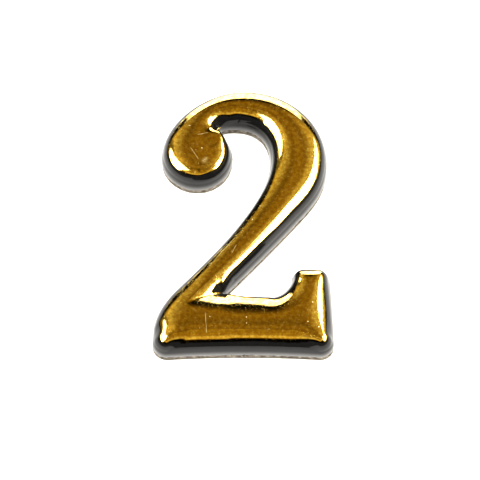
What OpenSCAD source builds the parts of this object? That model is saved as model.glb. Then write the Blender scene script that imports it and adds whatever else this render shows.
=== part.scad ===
// Self-adhesive numeral "2": a hollow metallised moulding on a foam tape, lying on its release liner.
// Millimetres. +X runs to the numeral's right, +Y to its top, +Z out of its face.
// The origin is under the middle of the numeral, in the plane the liner lies on.

/* [Numeral] */
// Height of the numeral, measured at its base
numeral_height = 50; // [45:0.5:55]
// Height of the steep side wall, below the pillowed face
wall_height = 1.8; // [1.4:0.1:2.2]
// Rise of the pillowed face above the side wall
crown_height = 2.3; // [1.8:0.1:2.8]
// Slope of the side wall away from vertical, in degrees
wall_draft = 12; // [6:1:16]

/* [Hollow back] */
// Thickness of the moulding's side wall at its rim
rim_thickness = 1.3; // [1:0.1:1.5]
// Thickness of the moulding under the crest of its face
roof_thickness = 1.4; // [1.2:0.1:1.8]
// Thickness of the ribs across the hollow
rib_thickness = 0.9; // [0.7:0.1:1.2]

/* [Backing] */
// Thickness of the foam tape
foam_thickness = 1.04; // [0.8:0.04:1.6]
// How far the foam's cut edge stands back from the moulding's rim
foam_setback = 0.12; // [0.1:0.02:0.3]
// Thickness of each layer of adhesive
adhesive_thickness = 0.08; // [0.06:0.01:0.12]
// Thickness of the paper release liner
liner_thickness = 0.1; // [0.08:0.01:0.16]

/* [Hidden] */

gold = [0.78, 0.55, 0.16];
clear_glue = [0.80, 0.78, 0.70];
foam_white = [0.90, 0.89, 0.86];
paper_cream = [0.93, 0.90, 0.80];

drawn_height = 50;
size = numeral_height / drawn_height;

liner_top = liner_thickness;
rear_adhesive_top = liner_top + adhesive_thickness;
foam_top = rear_adhesive_top + foam_thickness;
rim_level = foam_top + adhesive_thickness;
crest_level = wall_height + crown_height;
hollow_depth = crest_level - roof_thickness;
wall_inset = wall_height * tan(wall_draft);

// The outline at the base, run anticlockwise from the foot's left corner.
// Each stop is [x, y, heading in degrees, reach of the curve behind it, reach ahead of it],
// with y measured up from the foot's edge.
stops = [
    // foot: underside, right end, and the upturned serif
    [-12.9, 0, 4, 1.4, 7.95],
    [12.8, 0, -4, 7.85, 1.4],
    [15.4, 2.4, 91, 1.4, 2.95],
    [14.9, 13.7, 94, 2.95, 1.25],
    [12.6, 15.8, 180, 1.2, 0.6],
    [10.6, 15.8, 180, 0.6, 1.2],
    [8.1, 14, 266, 1.3, 1.15],
    // foot: top edge, back to the sharp corner under the diagonal
    [4.7, 10.7, 183, 2.15, 1.95],
    [-3.2, 11, 176, 1.95, 0.1],
    [-3.3, 11.2, 47, 0.1, 4.9],
    // outside of the diagonal and of the bowl
    [8.8, 24.4, 49.5, 4.9, 4.5],
    [14.7, 36.6, 90, 6, 7.35],
    [0.3, 50, 180, 7.95, 7.85],
    [-14.5, 37.5, 270, 6, 3.5],
    // ball terminal, up to the notch where it meets the bowl
    [-8.1, 31.3, 0, 3.45, 3.45],
    [-1.9, 37.5, 90, 3.45, 1.9],
    [-4.2, 42, 130, 1.9, 0.15],
    [-4, 42.5, 62, 0.1, 0.4],
    // inside of the bowl and of the diagonal, down to the foot's left end
    [-1.6, 43.1, 0, 1.45, 3.9],
    [4.6, 36.8, 270, 3.85, 4.8],
    [-1.4, 23.6, 234, 4.3, 4.9],
    [-11.6, 12.1, 226, 4.9, 2.7],
    [-15.5, 4.5, 268, 2.85, 0.8],
    [-15.6, 2.4, 270, 0.8, 1.35]
];
steps_per_curve = 7;

// The pillowed face, as [part of the way from edge to crest line, part of the crown's rise].
// It follows a quarter of an ellipse, up to the flat crest.
crest_way = 0.64;
function ellipse_rise(way) = sqrt(1 - pow(1 - way, 2));
crown_stations = [
    for (way = [0.05, 0.15, 0.3, 0.46, crest_way]) [way, ellipse_rise(way) / ellipse_rise(crest_way)]
];

function heading(angle) = [cos(angle), sin(angle)];
function across(step) = [-step.y, step.x] / norm(step);
function curve_point(a, b, c, d, t) =
    pow(1 - t, 3) * a + 3 * pow(1 - t, 2) * t * b + 3 * (1 - t) * pow(t, 2) * c + pow(t, 3) * d;
function placed(drawn) = size * [drawn.x, drawn.y - drawn_height / 2];
function between_stops(from, to, t) = curve_point(
    placed(from),
    placed(from) + size * from[4] * heading(from[2]),
    placed(to) - size * to[3] * heading(to[2]),
    placed(to),
    t
);

outline = [
    for (i = [0 : len(stops) - 1])
        for (k = [0 : steps_per_curve - 1])
            between_stops(stops[i], stops[(i + 1) % len(stops)], k / steps_per_curve)
];
count = len(outline);
inward = [for (i = [0 : count - 1]) across(outline[(i + 1) % count] - outline[(i + count - 1) % count])];

// Radius of the largest circle inside the outline that touches it at point i: half the stroke's width there.
function touching_radius(i) = min([
    for (j = [0 : count - 1])
        let (chord = outline[j] - outline[i], depth = chord * inward[i])
        if (depth > 0.0001) chord * chord / (2 * depth)
]);
radii = [for (i = [0 : count - 1]) min(touching_radius(i), 4 * size)];
half_width = [
    for (i = [0 : count - 1])
        let (near = [for (k = [-4 : 4]) radii[(i + count + k) % count]])
        (near * [for (value = near) 1]) / len(near)
];

// The outline moved in by a distance, and the outline moved in by a part of the half-width.
function inset(distance) =
    [for (i = [0 : count - 1]) outline[i] + inward[i] * min(distance, 0.5 * half_width[i])];
function inset_part(way) =
    [for (i = [0 : count - 1]) outline[i] + inward[i] * (wall_inset + way * (half_width[i] - wall_inset))];
function at_level(points, z) = [for (p = points) [p.x, p.y, z]];

// A flat loop of points cut into triangles, one ear at a time.
function turn(a, b, c) = cross(b - a, c - a);
function covers(a, b, c, p) = turn(a, b, p) >= 0 && turn(b, c, p) >= 0 && turn(c, a, p) >= 0;
function is_ear(points, loop, k) =
    let (
        n = len(loop),
        a = points[loop[(k + n - 1) % n]],
        b = points[loop[k]],
        c = points[loop[(k + 1) % n]]
    )
    turn(a, b, c) > 0
    && len([for (i = loop) let (p = points[i]) if (p != a && p != b && p != c && covers(a, b, c, p)) i]) == 0;
function first_ear(points, loop, k = 0) = is_ear(points, loop, k) ? k : first_ear(points, loop, k + 1);
function ears(points, loop) =
    len(loop) == 3 ? [loop] :
    let (n = len(loop), k = first_ear(points, loop))
    concat(
        [[loop[(k + n - 1) % n], loop[k], loop[(k + 1) % n]]],
        ears(points, [for (j = [0 : n - 1]) if (j != k) loop[j]])
    );
function reversed(face) = [face[2], face[1], face[0]];

// The band of triangles that joins ring r to the next one.
function band(r) = [
    for (i = [0 : count - 1])
        let (next = (i + 1) % count, low = r * count, high = (r + 1) * count)
        each [[low + i, high + i, high + next], [low + i, high + next, low + next]]
];

// The moulding without its ribs, as rings of points from the crest of its face, down the outside,
// under the rim and up the inside of the hollow.
module hollow_shell() {
    crest = inset_part(crest_way);
    hollow_edge = inset(rim_thickness);
    rings = [
        at_level(hollow_edge, hollow_depth),
        at_level(hollow_edge, 0),
        at_level(outline, 0),
        at_level(inset(wall_inset), wall_height),
        for (station = crown_stations)
            at_level(inset_part(station[0]), wall_height + crown_height * station[1])
    ];
    last = (len(rings) - 1) * count;
    whole_loop = [for (i = [0 : count - 1]) i];
    polyhedron(
        points = [for (ring = rings) each ring],
        faces = [
            for (r = [0 : len(rings) - 2]) each band(r),
            for (ear = ears(crest, whole_loop)) [for (i = reversed(ear)) last + i],
            each ears(hollow_edge, whole_loop)
        ],
        convexity = 12
    );
}

// One rib: [x, y] of its middle, drawn as the outline is, and the angle it runs at.
module rib(middle, angle) {
    translate(placed(middle))
        rotate(angle)
            translate([-8 * size, -rib_thickness / 2, 0])
                cube([16 * size, rib_thickness, hollow_depth + 0.2]);
}

// Ribs that stiffen the roof and give the tape more to hold than the rim alone.
module shell_ribs() {
    intersection() {
        union() {
            rib([-8.3, 37.4], 0);
            rib([0, 46.8], 90);
            rib([9.8, 35.5], 0);
            rib([2.6, 22.6], 142);
            rib([-6.5, 12.6], 136);
            rib([-6, 5], 90);
            rib([5, 5], 90);
        }
        translate([0, 0, -1])
            linear_extrude(hollow_depth + 1.1)
                polygon(inset(rim_thickness - 0.2));
    }
}

module numeral_shell() {
    color(gold)
        translate([0, 0, rim_level]) {
            hollow_shell();
            shell_ribs();
        }
}

// A flat layer of the tape, cut to the numeral's outline.
module tape_layer(bottom, thickness, setback) {
    translate([0, 0, bottom])
        linear_extrude(thickness)
            polygon(inset(setback));
}

module front_adhesive() {
    color(clear_glue)
        tape_layer(foam_top, adhesive_thickness, foam_setback);
}

module foam_core() {
    color(foam_white)
        tape_layer(rear_adhesive_top, foam_thickness, foam_setback);
}

module rear_adhesive() {
    color(clear_glue)
        tape_layer(liner_top, adhesive_thickness, foam_setback);
}

module release_liner() {
    color(paper_cream)
        tape_layer(0, liner_thickness, 0);
}

numeral_shell();
front_adhesive();
foam_core();
rear_adhesive();
release_liner();
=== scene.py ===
"""Self-adhesive numeral "2": gold mirror face, black moulded walls, foam tape and release liner."""

import math

import bpy
import numpy as np
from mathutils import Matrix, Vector, kdtree, noise
from mathutils.geometry import delaunay_2d_cdt


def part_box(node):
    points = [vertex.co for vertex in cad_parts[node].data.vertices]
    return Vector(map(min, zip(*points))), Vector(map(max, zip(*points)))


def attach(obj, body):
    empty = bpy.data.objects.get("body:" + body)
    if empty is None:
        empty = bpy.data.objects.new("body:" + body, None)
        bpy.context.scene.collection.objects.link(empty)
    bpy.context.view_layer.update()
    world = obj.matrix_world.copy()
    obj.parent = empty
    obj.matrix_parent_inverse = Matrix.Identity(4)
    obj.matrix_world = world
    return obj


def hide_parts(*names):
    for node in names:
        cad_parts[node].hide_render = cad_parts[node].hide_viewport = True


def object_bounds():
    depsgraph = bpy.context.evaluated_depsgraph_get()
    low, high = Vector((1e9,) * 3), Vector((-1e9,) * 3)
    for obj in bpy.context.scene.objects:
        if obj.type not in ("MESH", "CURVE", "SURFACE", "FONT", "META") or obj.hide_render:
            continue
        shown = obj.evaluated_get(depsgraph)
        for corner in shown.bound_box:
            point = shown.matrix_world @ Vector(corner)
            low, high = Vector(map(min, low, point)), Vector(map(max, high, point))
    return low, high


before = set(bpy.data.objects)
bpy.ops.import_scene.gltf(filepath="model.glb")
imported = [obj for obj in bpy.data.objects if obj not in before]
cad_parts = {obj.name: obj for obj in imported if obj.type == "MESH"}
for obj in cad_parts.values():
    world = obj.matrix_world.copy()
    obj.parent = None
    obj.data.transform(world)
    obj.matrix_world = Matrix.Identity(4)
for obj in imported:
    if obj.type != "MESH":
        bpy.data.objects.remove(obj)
cad_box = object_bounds()

MM = 0.001

# Levels of the part in millimetres, read from the frame.
FOAM_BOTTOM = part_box("foam_core")[0].z / MM
FOAM_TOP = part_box("foam_core")[1].z / MM
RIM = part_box("numeral_shell")[0].z / MM
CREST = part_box("numeral_shell")[1].z / MM
HEIGHT = (cad_box[1].y - cad_box[0].y) / MM

# The moulding, as the CAD builds it, in millimetres and degrees.
WALL_HEIGHT = 1.8
WALL_DRAFT = 12
CROWN = CREST - RIM - WALL_HEIGHT
WALL_INSET = WALL_HEIGHT * math.tan(math.radians(WALL_DRAFT))
RIM_THICKNESS = 1.3
HOLLOW_DEPTH = 2.7
FOAM_SETBACK = 0.12

# The CAD outline's stops: x, y up from the foot's edge, heading in degrees, and the curve's reach behind and
# ahead of the stop.
STOPS = [
    # foot: underside, right end, and the upturned serif
    (-12.9, 0, 4, 1.4, 7.95),
    (12.8, 0, -4, 7.85, 1.4),
    (15.4, 2.4, 91, 1.4, 2.95),
    (14.9, 13.7, 94, 2.95, 1.25),
    (12.6, 15.8, 180, 1.2, 0.6),
    (10.6, 15.8, 180, 0.6, 1.2),
    (8.1, 14, 266, 1.3, 1.15),
    # foot: top edge, back to the sharp corner under the diagonal
    (4.7, 10.7, 183, 2.15, 1.95),
    (-3.2, 11, 176, 1.95, 0.1),
    (-3.3, 11.2, 47, 0.1, 4.9),
    # outside of the diagonal and of the bowl
    (8.8, 24.4, 49.5, 4.9, 4.5),
    (14.7, 36.6, 90, 6, 7.35),
    (0.3, 50, 180, 7.95, 7.85),
    (-14.5, 37.5, 270, 6, 3.5),
    # ball terminal, up to the notch where it meets the bowl
    (-8.1, 31.3, 0, 3.45, 3.45),
    (-1.9, 37.5, 90, 3.45, 1.9),
    (-4.2, 42, 130, 1.9, 0.15),
    (-4, 42.5, 62, 0.1, 0.4),
    # inside of the bowl and of the diagonal, down to the foot's left end
    (-1.6, 43.1, 0, 1.45, 3.9),
    (4.6, 36.8, 270, 3.85, 4.8),
    (-1.4, 23.6, 234, 4.3, 4.9),
    (-11.6, 12.1, 226, 4.9, 2.7),
    (-15.5, 4.5, 268, 2.85, 0.8),
    (-15.6, 2.4, 270, 0.8, 1.35),
]
# Places below are in millimetres; those called drawn have y measured up from the foot's edge, as STOPS does.
#
# Inner corners that a valley runs in from: drawn place, and how far the valley can reach.
CREASES = [((-3.2, 11.1), 9), ((-4.1, 42.3), 0.6)]
# Width of the valley's rounded floor, and how fast it rises past the valley's reach.
CREASE_WIDTH = 0.25
CREASE_RISE = 3
# Round a crease's corner: how far its bend spreads, where each side's own direction is taken, and the least
# agreement with either side that a point there is given.
BEND_REACH = 0.3
SIDE_START = 0.6
LEAST_FACING = 0.38
# Part of the wall's lean left at a crease's corner, and how far away it has all of it again.
CORNER_LEAN = 0.3
CORNER_LEAN_REACH = 3
# Part of the wall's lean that is even from bottom to top; the rest grows towards the top.
EVEN_LEAN = 0.25
# Ends that the face droops towards: drawn place, how far round it, and how deep.
DROOPS = [((-15.6, 1.5), 5.5, 0.75), ((15.4, 0.5), 4, 0.3)]
# The ball's shoulder, where the face turns down sharply: drawn place, how far round it, and by how much.
SHARP_SHOULDER = ((-4.6, 40.2), 3.2, 0.65)
# Half-width of the narrowest and the widest rounding that the face follows.
NARROWEST = 2.6
WIDEST = 5.0
# Shape of the face across a stroke: 1 and 2 would make it half an ellipse.
ROUNDNESS = 0.94
FLATNESS = 2.6

# How finely the moulding is built: spacing of the outline and of the face's grid, rounding of the rim, rows
# up the wall, and how far in from the wall each close ring of the face stands.
OUTLINE_SPACING = 0.25
FACE_SPACING = 0.22
BEVEL = 0.06
BEVEL_ROWS = 3
WALL_ROWS = 8
FACE_RINGS = [0.015, 0.04, 0.08, 0.13, 0.19, 0.26, 0.34, 0.43, 0.53, 0.65, 0.8, 0.96, 1.13, 1.3]
# A grid spacing wider than the numeral, for flat faces that need no grid.
NO_GRID = 50
# Edges that turn more than this are shaded sharp.
SHARP_EDGE = math.radians(60)

# Scratches on the face, from one point to another.
SCRATCHES = [
    ((-9.2, 12.6), (-7.9, 10.5)),
    ((-8.0, 15.2), (-6.3, 15.6)),
    ((-6.5, -18.5), (-6.3, -21.9)),
    ((-1.3, -5.9), (-2.0, -7.4)),
]
# Smudge on the ball whose pale colour is a painted highlight, and a painted dark reflection below it: middle
# and size.
SMUDGE_AND_HIGHLIGHT = ((-6.8, 10.2), 1.8)
PAINTED_DARK_REFLECTION = ((-7.8, 8.3), 0.8)


# ---------------------------------------------------------------- outline


def outline(spacing):
    """The outline as points in millimetres, anticlockwise, about this far apart and at least 8 to a curve."""
    points = []
    for here, there in zip(STOPS, STOPS[1:] + STOPS[:1]):
        a = np.array(here[:2], float)
        d = np.array(there[:2], float)
        b = a + here[4] * heading(here[2])
        c = d - there[3] * heading(there[2])
        length = np.linalg.norm(b - a) + np.linalg.norm(c - b) + np.linalg.norm(d - c)
        steps = max(8, round(length / spacing))
        for k in range(steps):
            t = k / steps
            points.append((1 - t) ** 3 * a + 3 * (1 - t) ** 2 * t * b + 3 * (1 - t) * t * t * c + t**3 * d)
    points = np.array(points)
    points[:, 1] -= HEIGHT / 2
    return points


def heading(degrees):
    return np.array([math.cos(math.radians(degrees)), math.sin(math.radians(degrees))])


def away_from(drawn, points):
    """Distance of each point from a drawn place."""
    return np.linalg.norm(points - (np.array(drawn) - [0, HEIGHT / 2]), axis=1)


def evenly(points, spacing):
    """A closed loop of points spread evenly along the given one, about this far apart."""
    closed = np.vstack([points, points[:1]])
    along = np.concatenate([[0], np.cumsum(np.linalg.norm(np.diff(closed, axis=0), axis=1))])
    count = int(round(along[-1] / spacing))
    at = np.arange(count) * along[-1] / count
    return np.stack([np.interp(at, along, closed[:, 0]), np.interp(at, along, closed[:, 1])], axis=1)


def inward_normals(points):
    step = np.roll(points, -1, axis=0) - np.roll(points, 1, axis=0)
    return np.stack([-step[:, 1], step[:, 0]], axis=1) / np.linalg.norm(step, axis=1)[:, None]


def side_start(away, middle, way):
    """Number of the first point past a corner's bend, going one way from point number middle."""
    i = middle
    while away[i] <= SIDE_START:
        i = (i + way) % len(away)
    return i


def mitre_stretch(points, normals):
    """How much farther a ring must stand off at each point for the creases' corners to stay sharp on it."""
    stretch = np.ones(len(points))
    for corner, _ in CREASES:
        away = away_from(corner, points)
        middle = int(np.argmin(away))
        before = normals[side_start(away, middle, -1)]
        after = normals[side_start(away, middle, 1)]
        facing = np.maximum(normals @ before, normals @ after)
        stretch = np.where(away < BEND_REACH, 1 / np.maximum(facing, LEAST_FACING), stretch)
    return stretch


def steep_corners(points):
    """How much of the wall's lean is left at each point: it is nearly upright at the creases' corners."""
    lean = np.ones(len(points))
    for corner, _ in CREASES:
        part = np.clip(away_from(corner, points) / CORNER_LEAN_REACH, 0, 1)
        lean = np.minimum(lean, CORNER_LEAN + (1 - CORNER_LEAN) * part**1.5)
    return lean


def crease_corners(base, top_loop):
    """For each crease, the number of the point at its corner, which stands off farthest, and its reach."""
    stand_off = np.linalg.norm(top_loop - base, axis=1)
    found = []
    for corner, reach in CREASES:
        near = away_from(corner, base) < BEND_REACH
        found.append((int(np.argmax(near * stand_off)), reach))
    return found


def inside(loop, points):
    """Whether each point lies inside the closed loop."""
    result = np.zeros(len(points), bool)
    for a, b in zip(loop, np.roll(loop, -1, axis=0)):
        if a[1] == b[1]:
            continue
        crosses = (a[1] > points[:, 1]) != (b[1] > points[:, 1])
        x = a[0] + (points[:, 1] - a[1]) / (b[1] - a[1]) * (b[0] - a[0])
        result ^= crosses & (points[:, 0] < x)
    return result


# ---------------------------------------------------------------- the pillowed face


def smooth_depth(loop, points):
    """A smooth stand-in for the distance to the loop: pi over the sum of each side's angle by its distance."""
    batch = 4000
    along = np.roll(loop, -1, axis=0) - loop
    lengths = np.linalg.norm(along, axis=1)
    along = along / lengths[:, None]
    across = np.stack([-along[:, 1], along[:, 0]], axis=1)
    total = np.zeros(len(points))
    for first in range(0, len(points), batch):
        offset = points[first : first + batch, None, :] - loop[None, :, :]
        height = np.einsum("pse,se->ps", offset, across)
        before = np.einsum("pse,se->ps", offset, along)
        product = height**2 + before * (before - lengths[None, :])
        angle = np.arctan2(height * lengths[None, :], product)
        flat = np.abs(height) < 1e-7
        on_line = lengths[None, :] / np.where(flat, product, 1)
        off_line = angle / np.where(flat, 1, height)
        total[first : first + batch] = np.where(flat, on_line, off_line).sum(axis=1)
    return math.pi / total


def side_distance(line, points):
    """Distance from each point to an open line, positive on the line's left."""
    best = np.full(len(points), 1e9)
    result = np.zeros(len(points))
    for a, b in zip(line[:-1], line[1:]):
        along = b - a
        offset = points - a
        part = np.clip(offset @ along / (along @ along), 0, 1)
        away = offset - part[:, None] * along
        square = (away**2).sum(axis=1)
        left = along[0] * offset[:, 1] - along[1] * offset[:, 0] > 0
        nearer = square < best
        best = np.where(nearer, square, best)
        result = np.where(nearer, np.where(left, 1, -1) * np.sqrt(square), result)
    return result


def side_line(loop, middle, direction):
    """The loop's points past the corner at point number middle, going one way, after a straight run that
    carries their line on past the corner."""
    bend, reach, run = 0.8, 12, 20
    order = [(middle + direction * k) % len(loop) for k in range(len(loop) // 2)]
    along = np.concatenate([[0], np.cumsum(np.linalg.norm(np.diff(loop[order], axis=0), axis=1))])
    points = loop[order][(along > bend) & (along < reach)]
    back = points[0] - points[2]
    return np.vstack([points[0] + back / np.linalg.norm(back) * run, points])


def crease_depth(loop, middle, points, reach):
    """Depth inside the valley that runs into the face from an inner corner: each side of the corner goes on
    straight into the face, and a point is as deep as it is behind the farther of the two."""
    first = side_distance(side_line(loop, middle, -1)[::-1], points)
    second = side_distance(side_line(loop, middle, 1), points)
    overlap = np.maximum(CREASE_WIDTH - np.abs(first - second), 0) / CREASE_WIDTH
    valley = np.maximum(first, second) + overlap**2 * CREASE_WIDTH / 4
    past_reach = np.maximum(np.linalg.norm(points - loop[middle], axis=1) - reach, 0)
    return valley + CREASE_RISE * past_reach


def stroke_depth(loop, points):
    """How deep each point is inside its stroke, and the half-width of the rounding there."""
    step = 1e-3
    dx = smooth_depth(loop, points + [step, 0]) - smooth_depth(loop, points - [step, 0])
    dy = smooth_depth(loop, points + [0, step]) - smooth_depth(loop, points - [0, step])
    slope = np.sqrt(dx**2 + dy**2) / (2 * step)
    depth = smooth_depth(loop, points)
    half_width = np.where(slope < 0.999, 2 * depth / np.maximum(1 - slope**2, 1e-6), 1e3)
    return 2 * depth / (1 + slope), np.clip(half_width, NARROWEST, WIDEST)


def crown_height(loop, corners, points):
    """Height of the face above the wall: a flattened ellipse across each stroke, with its crest level."""
    depth, half_width = stroke_depth(loop, points)
    place, reach, sharper = SHARP_SHOULDER
    near = np.clip(1 - away_from(place, points) / reach, 0, 1)
    half_width *= 1 - sharper * near**2 * (3 - 2 * near)
    for middle, reach in corners:
        depth = np.minimum(depth, crease_depth(loop, middle, points, reach))
    across = 1 - np.clip(depth / half_width, 0, 1)
    edge = math.sqrt(1 - ROUNDNESS)
    height = CROWN * (np.sqrt(1 - ROUNDNESS * across**FLATNESS) - edge) / (1 - edge)
    for place, reach, drop in DROOPS:
        near = np.clip(1 - away_from(place, points) / reach, 0, 1)
        height -= drop * near**2 * height / CROWN
    return height


# ---------------------------------------------------------------- meshes


def triangulate(loop, extra_rings, spacing):
    """Triangles that fill the loop, through the points of the inner rings and an even grid between them."""
    lowest, highest = loop.min(axis=0), loop.max(axis=0)
    xs = np.arange(lowest[0], highest[0], spacing)
    ys = np.arange(lowest[1], highest[1], spacing)
    grid = np.stack(np.meshgrid(xs, ys), axis=-1).reshape(-1, 2)
    grid = grid[inside(loop, grid)]
    taken = np.vstack([loop] + extra_rings)
    tree = kdtree.KDTree(len(taken))
    for i, point in enumerate(taken):
        tree.insert((*point, 0), i)
    tree.balance()
    clear = [point for point in grid if tree.find((*point, 0))[2] > 0.7 * spacing]
    points = np.vstack([taken, clear]) if clear else taken
    count = len(loop)
    edges = [(i, (i + 1) % count) for i in range(count)]
    result = delaunay_2d_cdt([Vector(p) for p in points], edges, [list(range(count))], 1, 1e-7)
    return np.array([v[:] for v in result[0]]), [tuple(f) for f in result[2]]


def new_object(name, vertices, faces, smooth=True):
    """A mesh object from vertices in millimetres."""
    mesh = bpy.data.meshes.new(name)
    mesh.from_pydata([tuple(c * MM for c in v) for v in vertices], [], faces)
    if smooth:
        mesh.shade_smooth()
    mesh.validate()
    mesh.update()
    thing = bpy.data.objects.new(name, mesh)
    bpy.context.scene.collection.objects.link(thing)
    return thing


def touching_radius(points, normals):
    """Radius of the largest circle inside the outline that touches it at each point, up to 4 mm."""
    chord = points[None, :, :] - points[:, None, :]
    depth = np.einsum("ijk,ik->ij", chord, normals)
    square = (chord**2).sum(axis=2)
    return np.where(depth > 1e-3, square / (2 * np.maximum(depth, 1e-3)), 4).min(axis=1)


def smoothed(values, reach):
    """A running mean round a closed loop."""
    return np.mean([np.roll(values, k) for k in range(-reach, reach + 1)], axis=0)


def level(points, z):
    return np.column_stack([points, np.full(len(points), z)])


def bands(first, second, count):
    """Quads between two rings of vertices, given the index of each ring's first vertex."""
    return [
        (first + i, first + (i + 1) % count, second + (i + 1) % count, second + i)
        for i in range(count)
    ]


def inner_rings(loop, steps):
    """Copies of the loop moved inwards by each step, without the points that come too near another side."""
    normals = inward_normals(loop)
    rings = []
    for step in steps:
        ring = loop + normals * step
        nearest = np.sqrt(((ring[:, None, :] - loop[None, :, :]) ** 2).sum(axis=2).min(axis=1))
        rings.append(ring[nearest > 0.93 * step])
    return rings


def shell_rings(base):
    """The moulding's rings of points: roof, inside of the rim, rounding of the rim, and up the wall."""
    normals = inward_normals(base)
    room = 0.5 * smoothed(touching_radius(base, normals), 12)
    inner = base + normals * np.minimum(RIM_THICKNESS, room)[:, None]
    normals = normals * mitre_stretch(base, normals)[:, None]
    rings = [level(inner, RIM + HOLLOW_DEPTH), level(inner, RIM)]
    for k in range(BEVEL_ROWS + 1):
        turn = math.pi / 2 * k / BEVEL_ROWS
        stand_off = normals * BEVEL * (1 - math.sin(turn))
        rings.append(level(base + stand_off, RIM + BEVEL * (1 - math.cos(turn))))
    steeper = steep_corners(base)
    for k in range(1, WALL_ROWS + 1):
        part = k / WALL_ROWS
        lean = WALL_INSET * (EVEN_LEAN * part + (1 - EVEN_LEAN) * part**2) * steeper
        rings.append(level(base + normals * lean[:, None], RIM + BEVEL + (WALL_HEIGHT - BEVEL) * part))
    return rings


def shell_parts():
    """Vertices and faces of the moulding without its ribs."""
    base = outline(OUTLINE_SPACING)
    rings = shell_rings(base)
    count = len(base)
    vertices = list(np.vstack(rings))
    faces = []
    for r in range(len(rings) - 1):
        faces += bands(r * count, (r + 1) * count, count)
    top_loop = rings[-1][:, :2]
    crown, crown_faces = triangulate(top_loop, inner_rings(top_loop, FACE_RINGS), FACE_SPACING)
    within = crown[count:]
    height = crown_height(top_loop, crease_corners(base, top_loop), within)
    last_ring = (len(rings) - 1) * count
    start = len(vertices)
    vertices += list(np.column_stack([within, RIM + WALL_HEIGHT + height]))
    faces += [tuple(last_ring + i if i < count else start + i - count for i in face) for face in crown_faces]
    _, roof_faces = triangulate(rings[0][:, :2], [], NO_GRID)
    faces += [tuple(reversed(face)) for face in roof_faces]
    return vertices, faces


def numeral_shell():
    """The moulding: black walls and a gold, pillowed face, hollow underneath."""
    vertices, faces = shell_parts()
    shell = new_object("numeral_moulding", vertices, faces)
    shell.data.set_sharp_from_angle(angle=SHARP_EDGE)
    shell.data.materials.append(gold_mirror())
    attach(shell, "numeral")
    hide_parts("numeral_shell")
    return shell


# ---------------------------------------------------------------- foam tape


def foam_bulge(point, z):
    """How far the cut foam stands out at a place on its edge; loose crumbs stand out most, under the foot."""
    at = Vector((point[0], point[1], z))
    coarse = noise.noise(at * 0.5)
    medium = noise.noise(at * 1.9 + Vector((7, 3, 1)))
    fine = noise.noise(at * 5.5)
    bulge = 0.05 + 0.10 * coarse + 0.16 * medium + 0.10 * fine
    if point[1] < -HEIGHT / 2 + 1:
        crumbs = noise.noise(at * 1.4 + Vector((2, 9, 4)))
        bulge += 0.9 * max(crumbs, 0) * math.exp(-((point[0] / 3) ** 2))
    return bulge


def foam_parts():
    """Vertices and faces of the foam: rows of points up its ragged edge, between two flat faces."""
    rows = 9
    base = outline(0.05)
    loop = evenly(base + inward_normals(base) * FOAM_SETBACK, 0.14)
    outward = -inward_normals(loop)
    count = len(loop)
    vertices = []
    faces = []
    for r in range(rows):
        part = r / (rows - 1)
        z = FOAM_BOTTOM + (FOAM_TOP - FOAM_BOTTOM) * part
        hold = 0.25 + 0.75 * math.sin(math.pi * part)
        for point, out in zip(loop, outward):
            vertices.append((*(point + out * foam_bulge(point, z) * hold), z))
        if r:
            faces += bands((r - 1) * count, r * count, count)
    top_loop = np.array([v[:2] for v in vertices[(rows - 1) * count :]])
    bottom_loop = np.array([v[:2] for v in vertices[:count]])
    _, top_faces = triangulate(top_loop, [], NO_GRID)
    _, bottom_faces = triangulate(bottom_loop, [], NO_GRID)
    faces += [tuple((rows - 1) * count + i for i in face) for face in top_faces]
    faces += [tuple(reversed(face)) for face in bottom_faces]
    return vertices, faces


def foam_core():
    """The foam tape: a crumbly cut edge round two flat faces."""
    vertices, faces = foam_parts()
    foam = new_object("foam_tape", vertices, faces)
    foam.data.set_sharp_from_angle(angle=SHARP_EDGE)
    foam.data.materials.append(cut_foam())
    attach(foam, "numeral")
    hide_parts("foam_core")
    return foam


# ---------------------------------------------------------------- materials


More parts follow.
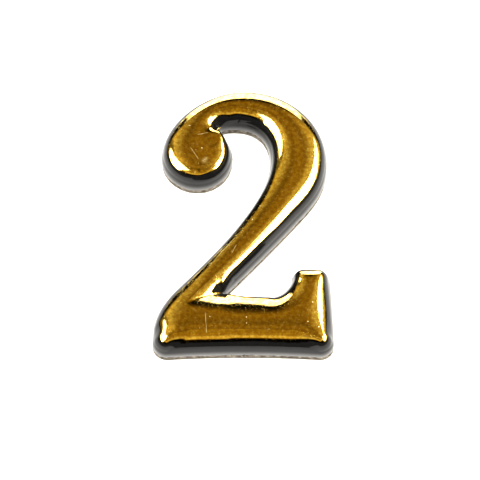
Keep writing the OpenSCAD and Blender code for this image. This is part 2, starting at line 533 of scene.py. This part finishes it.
class Nodes:
    """A short way to write a node tree."""

    def __init__(self, tree):
        self.tree = tree
        tree.nodes.clear()

    def add(self, kind, **settings):
        node = self.tree.nodes.new(kind)
        for name, value in settings.items():
            setattr(node, name, value)
        return node

    def link(self, source, target):
        self.tree.links.new(source, target)

    def fill(self, socket, value):
        if isinstance(value, bpy.types.NodeSocket):
            self.link(value, socket)
        else:
            socket.default_value = value

    def math(self, operation, *values, clamp=False):
        node = self.add("ShaderNodeMath", operation=operation, use_clamp=clamp)
        for socket, value in zip(node.inputs, values):
            self.fill(socket, value)
        return node.outputs[0]

    def vector(self, operation, *values):
        node = self.add("ShaderNodeVectorMath", operation=operation)
        for socket, value in zip(node.inputs, values):
            self.fill(socket, value)
        return node.outputs["Value" if operation in ("DOT_PRODUCT", "LENGTH", "DISTANCE") else "Vector"]

    def scaled(self, vector, factor):
        """The vector times a number."""
        node = self.add("ShaderNodeVectorMath", operation="SCALE")
        self.fill(node.inputs[0], vector)
        self.fill(node.inputs["Scale"], factor)
        return node.outputs[0]

    def axes(self, vector):
        """The vector's x, y and z."""
        node = self.add("ShaderNodeSeparateXYZ")
        self.link(vector, node.inputs[0])
        return node.outputs

    def between(self, value, low, high, start=0.0, end=1.0):
        """A smooth step from start to end as value goes from low to high."""
        node = self.add("ShaderNodeMapRange", interpolation_type="SMOOTHSTEP", clamp=True)
        for socket, given in zip(node.inputs, (value, low, high, start, end)):
            self.fill(socket, given)
        return node.outputs[0]

    def all_of(self, *masks):
        """The product of the masks."""
        product = masks[0]
        for mask in masks[1:]:
            product = self.math("MULTIPLY", product, mask)
        return product

    def noise(self, vector, scale, detail=2.0, roughness=0.5, distortion=0.0):
        node = self.add("ShaderNodeTexNoise")
        self.link(vector, node.inputs["Vector"])
        node.inputs["Scale"].default_value = scale
        node.inputs["Detail"].default_value = detail
        node.inputs["Roughness"].default_value = roughness
        node.inputs["Distortion"].default_value = distortion
        return node.outputs["Fac"]

    def mix(self, factor, a, b):
        node = self.add("ShaderNodeMix", data_type="RGBA")
        self.fill(node.inputs["Factor"], factor)
        first, second = [socket for socket in node.inputs if socket.type == "RGBA"]
        self.fill(first, a)
        self.fill(second, b)
        return node.outputs[2]

    def bump(self, height, strength, distance):
        node = self.add("ShaderNodeBump")
        self.link(height, node.inputs["Height"])
        node.inputs["Strength"].default_value = strength
        node.inputs["Distance"].default_value = distance
        return node.outputs["Normal"]


def rgb(red, green, blue):
    return (red, green, blue, 1.0)


DEEP_GOLD = rgb(0.70, 0.45, 0.08)
BRIGHT_GOLD = rgb(1.0, 0.78, 0.26)
# Pale colour of the dust and the scratches, and the painted highlight on the ball.
PALE_DUST_AND_HIGHLIGHT = rgb(0.98, 0.90, 0.60)
# Painted dark reflection: a dark brown spot low on the ball.
PAINTED_REFLECTION_BROWN = rgb(0.02, 0.012, 0.004)
BLACK_PLASTIC = rgb(0.004, 0.004, 0.004)


def material(name):
    """A new material, its nodes, and the inputs of its shader."""
    made = bpy.data.materials.new(name)
    made.use_nodes = True
    nodes = Nodes(made.node_tree)
    shader = nodes.add("ShaderNodeBsdfPrincipled")
    output = nodes.add("ShaderNodeOutputMaterial")
    nodes.link(shader.outputs[0], output.inputs["Surface"])
    return made, nodes, shader.inputs


def scratch(nodes, where, start, end):
    """A thin straight scratch between two points given in millimetres: 0.5 on it, 0 away from it."""
    first = Vector((*start, 0)) * MM
    along = Vector((*end, 0)) * MM - first
    flat = nodes.vector("MULTIPLY", where, (1, 1, 0))
    offset = nodes.vector("SUBTRACT", flat, first)
    part = nodes.math("DIVIDE", nodes.vector("DOT_PRODUCT", offset, along), along.length_squared, clamp=True)
    away = nodes.vector("LENGTH", nodes.vector("SUBTRACT", offset, nodes.scaled(along, part)))
    return nodes.between(away, 0.01 * MM, 0.06 * MM, 0.5, 0.0)


def patch(nodes, where, middle, size, ragged):
    """1 in the middle of a ragged round patch, 0 outside it."""
    flat = nodes.vector("MULTIPLY", where, (1, 1, 0))
    away = nodes.vector("DISTANCE", flat, Vector((*middle, 0)) * MM)
    rough = nodes.math("MULTIPLY_ADD", ragged, size * MM, away)
    return nodes.between(rough, 0.4 * size * MM, 1.2 * size * MM, 1.0, 0.0)


def dust(nodes, where):
    """Pale round specks, more in some places than in others: bright on a speck, 0 between them."""
    cells = nodes.add("ShaderNodeTexVoronoi", feature="F1")
    nodes.link(where, cells.inputs["Vector"])
    cells.inputs["Scale"].default_value = 1100
    pick = nodes.axes(cells.outputs["Color"])
    speck = nodes.between(cells.outputs["Distance"], 0.05, 0.13, 0.9, 0.0)
    sparse = nodes.between(nodes.noise(where, 140, detail=2), 0.36, 0.60, 0.80, 0.35)
    return nodes.all_of(speck, nodes.math("GREATER_THAN", pick["X"], sparse), pick["Y"])


def face_marks_and_highlight(nodes, where, ragged):
    """The dust, the scratches and the smudge, whose pale colour is a painted highlight, together, as the
    strongest of them at each place.
    """
    marks_and_highlight = dust(nodes, where)
    for start, end in SCRATCHES:
        marks_and_highlight = nodes.math("MAXIMUM", marks_and_highlight, scratch(nodes, where, start, end))
    # The smudge is rougher than the face around it; its pale colour is a painted highlight.
    smudge_and_highlight = nodes.math("MULTIPLY", patch(nodes, where, *SMUDGE_AND_HIGHLIGHT, ragged), 0.35)
    return nodes.math("MAXIMUM", marks_and_highlight, smudge_and_highlight)


def gold_mirror():
    """Metallised gold where the surface faces up, bare glossy black plastic on the steep walls."""
    made, nodes, shader = material("gold_mirror")
    place = nodes.add("ShaderNodeTexCoord")
    where = place.outputs["Object"]
    ragged = nodes.noise(where, 900, detail=3)
    upward = nodes.axes(place.outputs["Normal"])["Z"]
    upward = nodes.math("ADD", upward, nodes.math("MULTIPLY_ADD", ragged, 0.1, -0.05))
    coat = nodes.between(upward, 0.74, 0.78)
    tint = nodes.between(upward, 0.77, 0.82)

    mottle = nodes.between(nodes.noise(where, 1500, detail=5, roughness=0.7), 0.38, 0.66)
    marks_and_highlight = face_marks_and_highlight(nodes, where, ragged)
    gold = nodes.mix(mottle, DEEP_GOLD, BRIGHT_GOLD)
    # Pale dust and scratches, and the painted highlight on the ball.
    gold = nodes.mix(marks_and_highlight, gold, PALE_DUST_AND_HIGHLIGHT)
    # Painted dark reflection near the bottom of the ball.
    gold = nodes.mix(patch(nodes, where, *PAINTED_DARK_REFLECTION, ragged), gold, PAINTED_REFLECTION_BROWN)
    nodes.link(nodes.mix(tint, BLACK_PLASTIC, gold), shader["Base Color"])
    nodes.link(coat, shader["Metallic"])

    frost = nodes.between(nodes.noise(where, 4200, detail=3, roughness=0.6), 0.56, 0.68)
    dull = nodes.math("MAXIMUM", nodes.math("MULTIPLY", frost, 0.2), nodes.math("MULTIPLY", marks_and_highlight, 0.6))
    nodes.link(nodes.math("ADD", dull, 0.06), shader["Roughness"])
    shader["IOR"].default_value = 1.6
    height = nodes.axes(where)["Z"]
    shine = nodes.between(height, (RIM + 0.2) * MM, (RIM + 1.4) * MM, 0.5, 0.12)
    nodes.link(shine, shader["Specular IOR Level"])
    ripple = nodes.noise(where, 420, detail=3, roughness=0.6)
    nodes.link(nodes.bump(ripple, 0.12, 0.02 * MM), shader["Normal"])
    return made


def cut_foam():
    """Cut foam: blotchy, matt and full of pores."""
    made, nodes, shader = material("cut_foam")
    where = nodes.add("ShaderNodeTexCoord").outputs["Object"]
    blotch = nodes.noise(where, 1100, detail=4, roughness=0.65)
    colour = nodes.mix(nodes.between(blotch, 0.35, 0.7), rgb(0.05, 0.04, 0.03), rgb(0.27, 0.235, 0.19))
    nodes.link(colour, shader["Base Color"])
    shader["Roughness"].default_value = 0.95
    shader["IOR"].default_value = 1.45
    pores = nodes.noise(where, 5200, detail=3, roughness=0.7)
    nodes.link(nodes.bump(pores, 0.8, 0.08 * MM), shader["Normal"])
    return made


def clear_adhesive():
    """Cloudy adhesive film, shinier in some places than in others."""
    made, nodes, shader = material("clear_adhesive")
    where = nodes.add("ShaderNodeTexCoord").outputs["Object"]
    cloud = nodes.noise(where, 500, detail=3)
    nodes.link(nodes.mix(cloud, rgb(0.13, 0.12, 0.09), rgb(0.20, 0.185, 0.15)), shader["Base Color"])
    nodes.link(nodes.between(cloud, 0.3, 0.7, 0.2, 0.45), shader["Roughness"])
    return made


def liner_paper():
    """Cream release paper with a fine fibre texture."""
    made, nodes, shader = material("liner_paper")
    where = nodes.add("ShaderNodeTexCoord").outputs["Object"]
    fibres = nodes.noise(where, 1500, detail=5, roughness=0.7)
    nodes.link(nodes.mix(fibres, rgb(0.13, 0.115, 0.08), rgb(0.18, 0.165, 0.125)), shader["Base Color"])
    nodes.link(nodes.between(fibres, 0.3, 0.7, 0.5, 0.75), shader["Roughness"])
    nodes.link(nodes.bump(fibres, 0.3, 0.02 * MM), shader["Normal"])
    return made


def finish_cad_nodes():
    """Materials for the CAD nodes that stay as they are."""
    adhesive = clear_adhesive()
    finishes = {
        "front_adhesive": adhesive,
        "rear_adhesive": adhesive,
        "release_liner": liner_paper(),
    }
    for name, made in finishes.items():
        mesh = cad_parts[name].data
        mesh.materials.clear()
        mesh.materials.append(made)


# ---------------------------------------------------------------- studio


def pale_floor():
    """A round pale floor, a hair below the part so that their faces don't coincide."""
    bpy.ops.mesh.primitive_circle_add(vertices=96, radius=2.0, fill_type="NGON", location=(0, 0, -0.02 * MM))
    floor = bpy.context.object
    floor.name = "floor"
    made, nodes, shader = material("pale_floor")
    where = nodes.add("ShaderNodeTexCoord").outputs["Object"]
    cloud = nodes.noise(where, 8, detail=2)
    nodes.link(nodes.mix(cloud, rgb(0.84, 0.83, 0.82), rgb(0.87, 0.865, 0.86)), shader["Base Color"])
    shader["Roughness"].default_value = 0.8
    shader["Specular IOR Level"].default_value = 0.2
    floor.data.materials.append(made)


def studio_areas(nodes):
    """The bright parts of the studio, each as a mask over the directions and its light's colour.

    A direction is given by its rise above the horizon and by its side angle, both in degrees. The side angle
    is 0 straight behind the numeral and 180 straight in front of it, on the left as on the right."""
    direction = nodes.add("ShaderNodeTexCoord").outputs["Generated"]
    x, y, z = nodes.axes(direction)
    degree = 180 / math.pi
    rise = nodes.math("MULTIPLY", nodes.math("ARCSINE", z), degree)
    side = nodes.math("MULTIPLY", nodes.math("ARCTAN2", nodes.math("ABSOLUTE", x), y), degree)
    cloud = nodes.between(nodes.noise(direction, 4, detail=3), 0.3, 0.7, 0.6, 1.4)

    def above(value, low, high):
        return nodes.between(value, low, high)

    def below(value, low, high):
        return nodes.between(value, low, high, 1.0, 0.0)

    def leaning(slope):
        """The rise with this much of the side angle added, so that its level lines slope."""
        return nodes.math("MULTIPLY_ADD", side, slope, rise)

    def by_side(left, right):
        """One mask on the left of the numeral and another on its right."""
        return nodes.between(above(x, -0.1, 0.1), 0, 1, left, right)

    inner_left = nodes.all_of(below(leaning(-1.67), -47, -40), above(side, 52, 57))
    inner_right = below(leaning(-2.2), -75, -66)
    box_top = by_side(below(rise, 70, 76), below(leaning(0.3), 86, 92))
    left_strip = nodes.all_of(below(x, -0.1, 0.1), above(side, 42, 48), below(rise, 46, 56))
    dimmed = nodes.math("MULTIPLY_ADD", left_strip, -0.75, 1.0)
    behind = below(side, 125, 140)
    ahead = above(side, 125, 140)

    sweep = nodes.all_of(below(leaning(0.5), 42.5, 45.5), below(side, 26, 31))
    box_inner = by_side(inner_left, inner_right)
    boxes = nodes.all_of(box_inner, below(side, 116, 124), above(rise, 24, 36), box_top)
    ceiling = nodes.all_of(above(leaning(0.9), 53, 64), behind, cloud, dimmed)
    flank_rise = nodes.all_of(above(leaning(0.9), 54, 66), above(side, 10, 45))
    flank = nodes.all_of(flank_rise, behind, below(rise, 66, 84), dimmed)
    front = nodes.all_of(ahead, above(rise, 46, 52), cloud)
    front_glow = nodes.all_of(ahead, above(rise, 48, 53), below(rise, 58, 70))
    return [
        (sweep, (5.5, 5.5, 5.6)),
        (boxes, (12, 12, 12)),
        (ceiling, (0.26, 0.15, 0.012)),
        (flank, (0.5, 0.43, 0.15)),
        (front, (0.38, 0.23, 0.018)),
        (front_glow, (0.45, 0.38, 0.16)),
    ]


def studio_light():
    """A bright sweep behind the object, a soft box on each side, a warm ceiling and a warm glow in front, in
    an otherwise dark room. The camera itself sees a white background."""
    world = bpy.data.worlds.new("studio")
    bpy.context.scene.world = world
    world.use_nodes = True
    nodes = Nodes(world.node_tree)
    total = None
    for mask, colour in studio_areas(nodes):
        glow = nodes.scaled(colour, mask)
        total = glow if total is None else nodes.vector("ADD", total, glow)
    lit = nodes.add("ShaderNodeBackground")
    nodes.link(total, lit.inputs["Color"])
    seen = nodes.add("ShaderNodeBackground")
    seen.inputs["Color"].default_value = rgb(1, 1, 1)
    seen.inputs["Strength"].default_value = 1.2
    path = nodes.add("ShaderNodeLightPath")
    mixed = nodes.add("ShaderNodeMixShader")
    nodes.link(path.outputs["Is Camera Ray"], mixed.inputs[0])
    nodes.link(lit.outputs[0], mixed.inputs[1])
    nodes.link(seen.outputs[0], mixed.inputs[2])
    output = nodes.add("ShaderNodeOutputWorld")
    nodes.link(mixed.outputs[0], output.inputs["Surface"])


def overhead_light():
    """A very soft light from straight above, which lights the matt surfaces and isn't seen in the gloss."""
    sun = bpy.data.lights.new("overhead", "SUN")
    sun.energy = 4.5
    sun.angle = math.radians(50)
    overhead = bpy.data.objects.new("overhead", sun)
    overhead.visible_glossy = False
    bpy.context.scene.collection.objects.link(overhead)


def camera():
    """The photograph's view: 66 degrees above the floor, from 412 mm away."""
    elevation = math.radians(66)
    distance = 412 * MM
    aim = Vector((-0.64, -2.6, 0)) * MM
    back = Vector((0, -math.cos(elevation), math.sin(elevation)))
    data = bpy.data.cameras.new("camera")
    data.sensor_width = 36
    data.lens = 177.66
    data.clip_start = 0.01
    data.clip_end = 10
    view = bpy.data.objects.new("camera", data)
    view.location = aim + back * distance
    view.rotation_euler = (math.radians(90) - elevation, 0, 0)
    bpy.context.scene.collection.objects.link(view)
    bpy.context.scene.camera = view
    bpy.context.scene.view_settings.view_transform = "Standard"


numeral_shell()
foam_core()
finish_cad_nodes()
pale_floor()
studio_light()
overhead_light()
camera()
